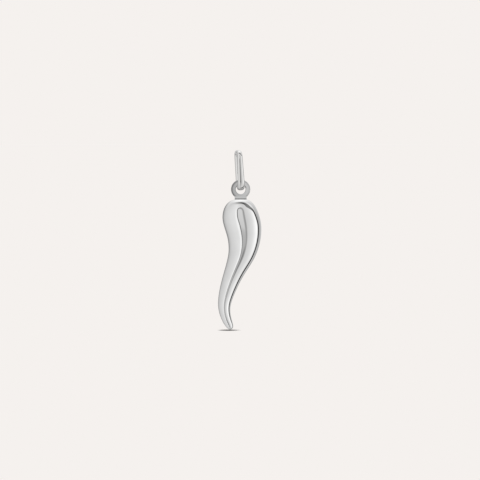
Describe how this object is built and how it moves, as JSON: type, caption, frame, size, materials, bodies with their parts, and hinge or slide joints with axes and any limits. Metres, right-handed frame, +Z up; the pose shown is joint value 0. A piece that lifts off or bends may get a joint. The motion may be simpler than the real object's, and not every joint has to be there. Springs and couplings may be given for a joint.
{
  "type": "horn charm pendant with bail",
  "caption": "Mirror-polished white gold horn charm: an S-curved tapering horn with a flat eye soldered on its top, hanging from a long loop of tapering oval wire, the bail, that a chain runs through.",
  "frame": {"origin": "chain seat, the middle of the bail's inner surface at its top, where the chain carries the pendant", "axes": "+Z up along the hanging pendant, +X to the right as seen from the front, +Y from the front to the back, so that the horn's S lies in the XZ plane"},
  "size_m": [0.0061, 0.0038, 0.0251],
  "materials": {
    "bail_metal": "polished white gold wire with fine drawing marks",
    "horn_metal": "mirror-polished white gold, a little duller on the eye and its foot"
  },
  "bodies": {
    "bail": {"bail": "bail_metal"},
    "horn": {"horn": "horn_metal"}
  },
  "joints": [
    {"name": "horn_swing", "type": "hinge", "parent": "bail", "child": "horn", "pos_m": [0.00032, 0, -0.00484], "axis": [0, 1, 0], "range_deg": [-110, 110]}
  ]
}
